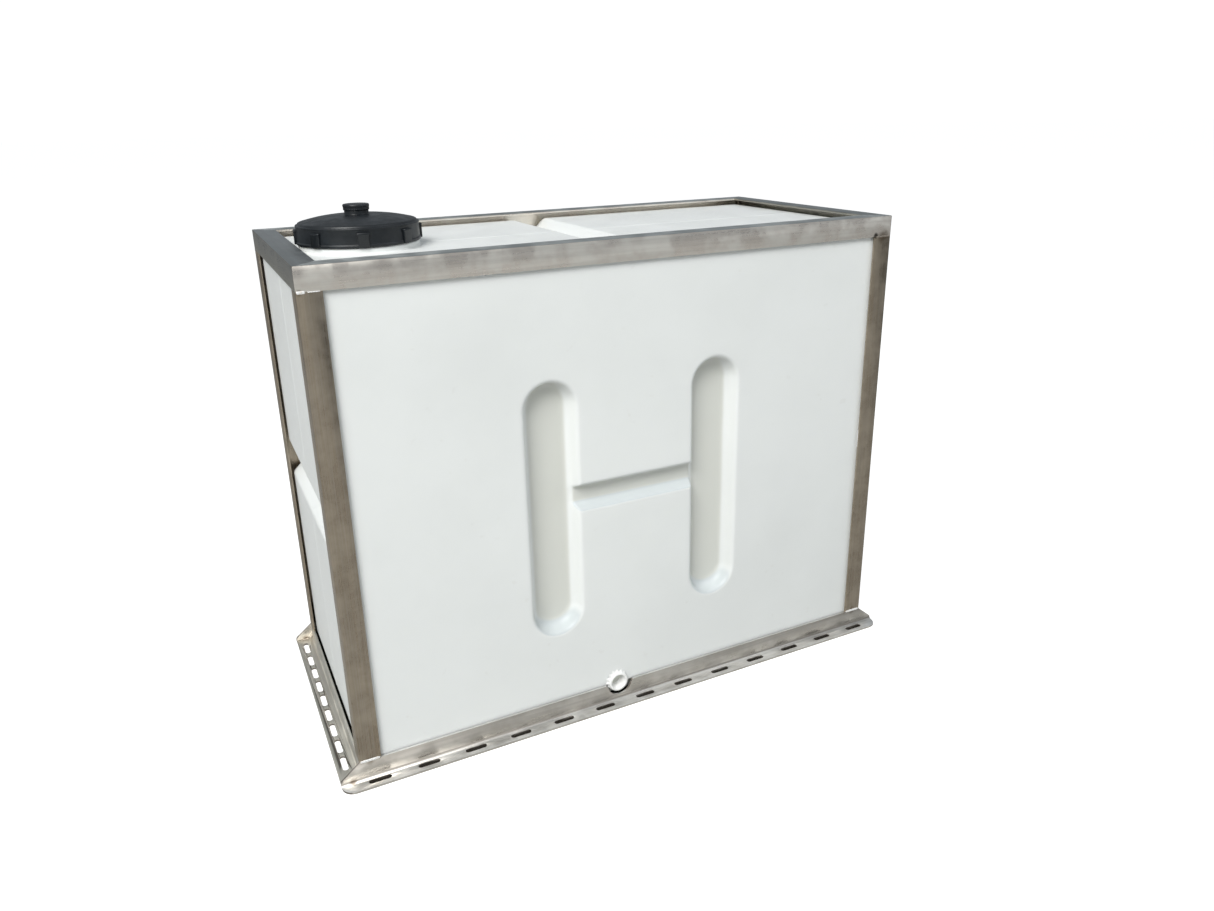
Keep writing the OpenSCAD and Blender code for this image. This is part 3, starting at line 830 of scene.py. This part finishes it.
def lid_profile():
    """Closed section of the lid, from the foot of the skirt over the dome and back inside."""
    lid_t = 3.6 * MM
    ceiling = TANK_HIGH.z + 3.6 * MM
    rib_out, rib_in = MOUTH_R - 1 * MM, MOUTH_R - 3.5 * MM
    steps = 14
    outside = [(SHOULDER_R - (SHOULDER_R - BOSS_R - 1.5 * MM) * i / steps) for i in range(1, steps + 1)]
    corners = [
        (LID_BORE, LID_Z, 0.6 * MM), (LID_R + 1.2 * MM, LID_Z, 0.8 * MM),
        (LID_R + 1.2 * MM, LID_Z + 3.0 * MM, 0.8 * MM), (LID_R, LID_Z + 4.4 * MM, 0.5 * MM),
        (LID_R - 0.5 * MM, SKIRT_TOP - 2.2 * MM, 0.3 * MM), (LID_R, SKIRT_TOP - 1.8 * MM, 0.4 * MM),
        (LID_R, SKIRT_TOP, 1.0 * MM), (LID_R - 2.4 * MM, SKIRT_TOP + 0.5 * MM, 0.4 * MM),
        (SHOULDER_R + 1.6 * MM, SHOULDER_Z - 0.6 * MM, 1.2 * MM),
        (SHOULDER_R, dome_at(SHOULDER_R) + 0.2 * MM, 0.5 * MM),
    ]
    corners += [(r, dome_at(r), 0) for r in outside]
    corners += [
        (BOSS_R, dome_at(BOSS_R), 0.8 * MM), (BOSS_R, BOSS_TOP, 0.5 * MM),
        (TUBE_R, BOSS_TOP, 0.6 * MM), (TUBE_R, TUBE_TOP, 0.6 * MM),
        (8.4 * MM, TUBE_TOP, 0.4 * MM), (8.4 * MM, SEAT_Z, 0), (5 * MM, SEAT_Z, 0.3 * MM),
        (5 * MM, SEAT_Z - 3 * MM, 0.3 * MM), (10.5 * MM, SEAT_Z - 3 * MM, 0),
    ]
    corners += [(r, dome_at(r) - lid_t, 0) for r in reversed([rib_in, *outside[4:]])]
    corners += [
        (rib_in, TANK_HIGH.z - 1 * MM, 0.5 * MM), (rib_out, TANK_HIGH.z - 1 * MM, 0.5 * MM),
        (rib_out, ceiling, 0), (LID_BORE, ceiling, 0.8 * MM),
    ]
    return rounded(corners, arc_steps=4)


def lug(turn):
    """Gripping lug on the skirt: a rounded block under a slightly wider top bar."""
    half, height, out, sunk = 8 * MM, 20 * MM, 3.6 * MM, 3 * MM
    bar_low = height - 3.4 * MM
    # Height, and the shares of the full width and depth there
    levels = [
        (0.4 * MM, 0.86, 0.80), (1.4 * MM, 0.9, 0.9), (bar_low - 0.7 * MM, 0.9, 0.86),
        (bar_low, 0.98, 0.98), (height - 1.1 * MM, 1.0, 1.0), (height - 0.3 * MM, 0.97, 0.86),
        (height, 0.90, 0.60),
    ]
    vertices = []
    for z, wide, deep in levels:
        side, face = half * wide, out * deep
        outline = rounded([
            (-side, -sunk, 0), (-side, face, 1 * MM), (side, face, 1 * MM), (side, -sunk, 0),
        ], closed=False, arc_steps=4)
        for across, depth in outline:
            radius = LID_R + depth
            angle = turn - across / LID_R
            vertices.append(Vector((
                NECK_X + radius * math.cos(angle), radius * math.sin(angle), LID_Z + z,
            )))
    around = len(vertices) // len(levels)
    return vertices, tube_faces(len(levels), around)


def make_lid():
    centre = Vector((NECK_X, 0, 0))
    parts = [revolve(lid_profile(), 192, centre)]
    parts += [lug(FIRST_LUG + 2 * math.pi * i / LUGS) for i in range(LUGS)]
    parts.append(helix_ridge(
        Vector((NECK_X, 0, TANK_H + 11.4 * MM)), LID_BORE, height=-1.7 * MM, width=2.6 * MM, turns=1.3,
        start=math.radians(40),
    ))
    piece = make_piece("fill_lid_moulding", *joined(parts), LID_PLASTIC, body="lid", sharp=38)
    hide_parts("fill_lid")

    low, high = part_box("vent_cap")
    cap_r = (high.x - low.x) / 2
    top = high.z - KNOB_DROP
    flutes = 36

    def grip(radius, height, angle):
        on_band = low.z + 1.6 * MM < height < top - 3.2 * MM and radius > cap_r - 1.2 * MM
        return (radius - 0.35 * MM * max(0, math.cos(flutes * angle)) if on_band else radius), height

    inner_r = TUBE_R + 0.6 * MM
    under = TUBE_TOP + 1.8 * MM
    side = [(cap_r - 0.4 * MM, low.z + (1.7 + 0.8 * i) * MM, 0) for i in range(4)]
    corners = [
        (0, under, 0), (inner_r, under, 0.5 * MM), (inner_r, low.z, 0.4 * MM),
        (cap_r - 0.6 * MM, low.z, 0.5 * MM), (cap_r - 0.4 * MM, low.z + 1.4 * MM, 0.2 * MM), *side,
        (cap_r - 0.4 * MM, top - 3.6 * MM, 0.2 * MM), (cap_r, top - 3.3 * MM, 0.3 * MM),
        (cap_r, top - 0.2 * MM, 2.0 * MM), (cap_r - 4.5 * MM, top, 0.6 * MM),
        (cap_r - 5.5 * MM, top - 0.3 * MM, 0.4 * MM), (0, top - 0.3 * MM, 0),
    ]
    profile = rounded(corners, closed=False, arc_steps=4)
    cap = make_piece(
        "vent_cap_moulding", *revolve_solid(profile, 216, centre, warp=grip), LID_PLASTIC,
        body="vent_knob", sharp=38,
    )
    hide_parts("vent_cap")


# ---------- welds ----------

def bead(start, end, out, width, height, seed, ripple=1.6 * MM):
    """Weld bead on a seam: overlapping ripples, uneven in width, rounded at both ends."""
    start, end, out = Vector(start), Vector(end), Vector(out)
    length = (end - start).length
    along = (end - start) / length
    across = along.cross(out)
    steps = max(12, int(length / (0.35 * MM)))
    around = 10
    vertices = []
    for i in range(steps + 1):
        t = i / steps
        wobble = 0.5 * noise.noise(Vector((t * length / (3 * MM), seed, 0)))
        crest = abs(math.sin(math.pi * t * length / ripple + wobble)) ** 0.7
        end_round = math.sqrt(max(1 - (2 * t - 1) ** 8, 0.02))
        half = width / 2 * end_round * (0.84 + 0.12 * crest + 0.25 * wobble)
        tall = height * end_round * (0.62 + 0.30 * crest + 0.2 * wobble)
        for k in range(around):
            angle = math.pi * k / (around - 1)
            lift = math.sin(angle) ** 0.8 * min(tall, height) if 0 < k < around - 1 else -0.3 * MM
            shift = across * half * math.cos(angle) + along * 0.25 * ripple * math.sin(angle)
            vertices.append(start + along * length * t * 0.98 + shift + out * lift)
    return vertices, tube_faces(steps + 1, around)


def blob(centre, radius, seed):
    """Small drop of spatter, flattened against the steel."""
    around, rows, squash = 12, 7, 0.6
    profile = [(0, -radius)]
    profile += [
        (radius * math.sin(math.pi * i / rows), -radius * math.cos(math.pi * i / rows))
        for i in range(1, rows)
    ]
    profile.append((0, radius))
    vertices, faces = revolve_solid(profile, around)
    lumpy = [v * (1 + 0.35 * noise.noise(v / radius + Vector((seed, 0, 0)))) for v in vertices]
    return [centre + Vector((v.x, v.y * squash, v.z)) for v in lumpy], faces


def make_welds():
    seam_low, seam_high = LEG, CAGE_TOP - LEG
    half = (LEG - 2 * MM) / 2
    bright, dull, spots = [], [], []
    seed = 0
    for sx in (-1, 1):
        for sy in (-1, 1):
            x_mid = sx * (HALF_L - LEG / 2)
            y_mid = sy * (HALF_W - LEG / 2)
            face_y, face_x = sy * HALF_W, sx * HALF_L
            seed += 1
            bead_z = seam_low + 0.7 * MM
            bright.append(bead(
                (x_mid - half, face_y, bead_z), (x_mid + half, face_y, bead_z), (0, sy, 0),
                4.4 * MM, 1.2 * MM, seed,
            ))
            for end in (-1, 1):
                spot = Vector((x_mid + end * (half - 1.2 * MM), face_y, seam_low - 0.6 * MM))
                spots.append(blob(spot, 1.0 * MM, seed + end))
            ground = sx > 0
            height = 0.45 * MM if ground else 0.9 * MM
            top = dull if ground else bright
            outer_end = sx * (HALF_L - 1 * MM)
            reach = LEG - 2 * MM if ground else 0.32 * LEG
            top.append(bead(
                (outer_end, face_y, seam_high), (outer_end - sx * reach, face_y, seam_high), (0, sy, 0),
                (2.4 if ground else 4.2) * MM, height, seed + 10,
            ))
            if not ground:
                spots.append(blob(
                    Vector((outer_end - sx * reach, face_y, seam_high - 0.5 * MM)), 1.1 * MM, seed + 20
                ))
                top.append(bead(
                    (outer_end - sx * (reach + 3 * MM), face_y, seam_high),
                    (outer_end - sx * (LEG - 4 * MM), face_y, seam_high), (0, sy, 0),
                    1.4 * MM, 0.4 * MM, seed + 30, ripple=3 * MM,
                ))
            dull.append(bead(
                (face_x, y_mid - half, seam_high), (face_x, y_mid + half, seam_high), (sx, 0, 0),
                2.6 * MM, 0.5 * MM, seed + 40,
            ))
    feet = [part for part in bright if abs(part[0][0].z - seam_low) < 3 * MM]
    tops = [part for part in bright if abs(part[0][0].z - seam_low) >= 3 * MM]
    foot_spots = [part for part in spots if abs(part[0][0].z - seam_low) < 4 * MM]
    top_spots = [part for part in spots if abs(part[0][0].z - seam_low) >= 4 * MM]
    for name, parts, material, node in (
        ("post_foot_beads", feet, HIGHLIT_WELD, "post_foot_welds"),
        ("post_foot_spatter", foot_spots, DULL_WELD, "post_foot_welds"),
        ("post_top_beads", tops, HIGHLIT_WELD, "post_top_welds"),
        ("post_top_ground_beads", dull, DULL_WELD, "post_top_welds"),
        ("post_top_spatter", top_spots, DULL_WELD, "post_top_welds"),
    ):
        piece = make_piece(name, *joined(parts), material, sharp=60)
        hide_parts(node)

    corner_parts, tack_parts = [], []
    for sx in (-1, 1):
        for sy in (-1, 1):
            seed += 1
            inward = Vector((-sx, -sy, 0)).normalized()
            inner = Vector((sx * (HALF_L - STEEL_T), sy * (HALF_W - STEEL_T), 0))
            z0, z1 = CAGE_TOP - LEG + 1 * MM, CAGE_TOP - STEEL_T - 4 * MM
            corner_parts.append(bead(
                inner + UP * z0, inner + UP * z1, inward, 4 * MM, 1.8 * MM, seed + 50,
            ))
            base = Vector((sx * (HALF_L + (FLANGE_OUT - HALF_L) / 2), sy * (HALF_W - STEEL_T), STEEL_T))
            side = Vector((7.2 * MM, 0, 0))
            out = Vector((0, -sy, 1)).normalized()
            tack_parts.append(bead(base - side, base + side, out, 3.2 * MM, 1.5 * MM, seed + 60))
    for name, parts, node in (
        ("top_corner_beads", corner_parts, "top_corner_welds"),
        ("base_corner_tacks", tack_parts, "base_corner_welds"),
    ):
        piece = make_piece(name, *joined(parts), DULL_WELD, sharp=60)
        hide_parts(node)


# ---------- steel of the cage, and the small CAD parts that stay ----------

SHARP = math.radians(30)


def soften_edges(node, width):
    """Small rounding on the edges of a CAD node, by modifiers only."""
    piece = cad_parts[node]
    weld = piece.modifiers.new("merge", "WELD")
    weld.merge_threshold = 0.02 * MM
    bevel = piece.modifiers.new("edges", "BEVEL")
    bevel.width = width
    bevel.segments = 2
    bevel.limit_method = "ANGLE"
    bevel.angle_limit = SHARP
    bevel.harden_normals = True


def dress(node, material):
    """Puts a material on a CAD node, shaded smooth up to its sharp edges."""
    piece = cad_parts[node]
    piece.data.materials.clear()
    piece.data.materials.append(material)
    piece.data.shade_smooth()
    piece.data.set_sharp_from_angle(angle=SHARP)


# Tones of the clean and the smudged steel, for each kind of member and each way it faces; how light or dark
# each member and facing is, is painted reflection
RAIL = (tone(0.89, 0.81, 0.73), tone(1.0, 0.96, 0.88))
RAIL_TOP = (tone(0.34, 0.37, 0.37), tone(0.46, 0.49, 0.49))
POST = (tone(0.33, 0.27, 0.20), tone(0.46, 0.39, 0.30))
LEFT_SIDE = (tone(0.36, 0.35, 0.30), tone(0.50, 0.48, 0.42))
BASE = (tone(0.63, 0.59, 0.53), tone(0.78, 0.74, 0.68))
FLANGE = (tone(0.80, 0.79, 0.76), tone(0.90, 0.89, 0.86))
END_BASE = (tone(0.76, 0.73, 0.66), tone(0.88, 0.86, 0.79))
END_FLANGE = (tone(0.95, 0.92, 0.84), tone(1.0, 0.98, 0.91))
END_BASE_LOOK = {"dulled": 0.18, "bend_shade": 0.0}
BROWN = tone(0.17, 0.125, 0.085)
DARK = tone(0.06, 0.05, 0.04)


def make_cage_finish():
    """Gives each angle its steel, with heat tints as (point, radius, strength, colour) at its welds."""
    right_x, front_y, seam_z = HALF_L - LEG, -HALF_W, CAGE_TOP - LEG
    right_corner = [
        ((right_x + 0.55 * LEG, front_y, seam_z), 14 * MM, 0.75, BROWN),
        ((right_x + 2 * MM, front_y, seam_z + 2 * MM), 6 * MM, 0.95, DARK),
    ]
    left_corner = [((-HALF_L + 4 * MM, front_y, seam_z), 6 * MM, 0.6, BROWN)]
    foot_right = [((HALF_L - LEG / 2, front_y, LEG), 9 * MM, 0.5, BROWN)]
    foot_left = [((-HALF_L + LEG / 2, front_y, LEG), 9 * MM, 0.5, BROWN)]
    gusset = [((-HALF_L - 12 * MM, -HALF_W, STEEL_T), 8 * MM, 0.8, BROWN)]
    back_left = [((-HALF_L - 12 * MM, HALF_W - STEEL_T, STEEL_T), 9 * MM, 0.9, BROWN)]
    back_right = [((HALF_L - STEEL_T, HALF_W - STEEL_T, CAGE_TOP - 8 * MM), 12 * MM, 0.8, BROWN)]
    members = {
        "top_rail_front": ("x", RAIL, RAIL_TOP, right_corner + left_corner),
        "top_rail_back": ("x", RAIL, RAIL_TOP, back_right),
        "top_rail_left": ("y", LEFT_SIDE, RAIL_TOP, left_corner),
        "top_rail_right": ("y", LEFT_SIDE, RAIL_TOP, right_corner + back_right),
        "post_front_left": ("z", POST, POST, left_corner + foot_left),
        "post_front_right": ("z", POST, POST, right_corner + foot_right),
        "post_back_left": ("z", POST, POST, ()),
        "post_back_right": ("z", POST, POST, ()),
        "base_angle_front": ("x", BASE, FLANGE, foot_left + foot_right + gusset),
        "base_angle_back": ("x", BASE, FLANGE, back_left),
        "base_angle_left": ("y", END_BASE, END_FLANGE, ()),
        "base_angle_right": ("y", END_BASE, END_FLANGE, ()),
    }
    for node, (along, side, top, tints) in members.items():
        look = END_BASE_LOOK if side is END_BASE else {}
        dress(node, brushed_steel("cage_steel_" + node, along, side, top, tints, **look))
        soften_edges(node, 0.6 * MM)


def make_small_parts():
    dress("lid_gasket", RUBBER)
    soften_edges("lid_gasket", 0.5 * MM)
    dress("vent_filter_ring", FOAM)
    soften_edges("vent_filter_ring", 0.3 * MM)
    dress("vent_valve", LID_PLASTIC)
    soften_edges("vent_valve", 0.3 * MM)
    screen = brushed_steel("screen_steel", "x", FLANGE, FLANGE)
    dress("vent_screen", screen)


# ---------- stage ----------

# Strength of the sky on the object, and as the camera sees it
WORLD_LIGHT = 0.34
BACKDROP = 1.15


def make_stage():
    bpy.ops.mesh.primitive_circle_add(vertices=96, radius=60, fill_type="NGON", location=(0, 0, 0))
    floor = bpy.context.object
    floor.name = "studio_floor"
    floor.data.materials.append(floor_paint("studio_floor"))

    world = bpy.data.worlds.new("studio")
    bpy.context.scene.world = world
    world.use_nodes = True
    tree = world.node_tree
    sky = tree.nodes["Background"]
    sky.inputs["Color"].default_value = tone(0.92, 0.98, 1.04)
    seen = add(tree, "LightPath").outputs["Is Camera Ray"]
    strength = add(tree, "MapRange", {"Value": seen, "To Min": WORLD_LIGHT, "To Max": BACKDROP})
    tree.links.new(strength.outputs["Result"], sky.inputs["Strength"])

    middle = Vector((0, 0, CAGE_TOP / 2))
    for name, where, size, power, colour in (
        ("key", (-2.95, -2.75, 4.3), 2.6, 310, (1.0, 1.0, 0.985)),
        ("fill", (2.6, -2.4, 3.4), 2.4, 34, (0.95, 0.98, 1.0)),
    ):
        light = bpy.data.objects.new(name, bpy.data.lights.new(name, "AREA"))
        light.data.size = size
        light.data.energy = power
        light.data.color = colour
        light.location = where
        light.rotation_euler = (middle - light.location).to_track_quat("-Z", "Y").to_euler()
        bpy.context.scene.collection.objects.link(light)
    # The milky walls let daylight through, so the inside of the tank is never dark
    inside = bpy.data.objects.new("inside", bpy.data.lights.new("inside", "POINT"))
    inside.data.energy = 1.3
    inside.data.shadow_soft_size = 0.1
    inside.location = (DRAIN_X, 0, TANK_H / 2)
    bpy.context.scene.collection.objects.link(inside)
    bpy.context.scene.view_settings.view_transform = "Standard"


def make_camera():
    """Camera at the viewing angle: turned to the right, looking down, with a little roll."""
    position = Vector((-0.5909, -1.3270, 0.9040))
    azimuth, down_angle, roll = (math.radians(angle) for angle in (25.804, 19.700, 1.180))
    level = math.cos(down_angle)
    ahead = Vector((math.sin(azimuth) * level, math.cos(azimuth) * level, -math.sin(down_angle)))
    level_right = ahead.cross(UP).normalized()
    level_down = ahead.cross(level_right)
    right = math.cos(roll) * level_right + math.sin(roll) * level_down
    down = -math.sin(roll) * level_right + math.cos(roll) * level_down
    camera = bpy.data.objects.new("camera", bpy.data.cameras.new("camera"))
    turn = Matrix((right, -down, -ahead)).transposed().to_4x4()
    camera.matrix_world = Matrix.Translation(position) @ turn
    camera.data.sensor_width = 36
    camera.data.lens = 26.72
    camera.data.shift_x = 0.0004
    camera.data.shift_y = -0.0169
    camera.data.clip_end = 200
    bpy.context.scene.collection.objects.link(camera)
    bpy.context.scene.camera = camera


make_tank()
make_drain()
make_lid()
make_welds()
make_cage_finish()
make_small_parts()
make_stage()
make_camera()
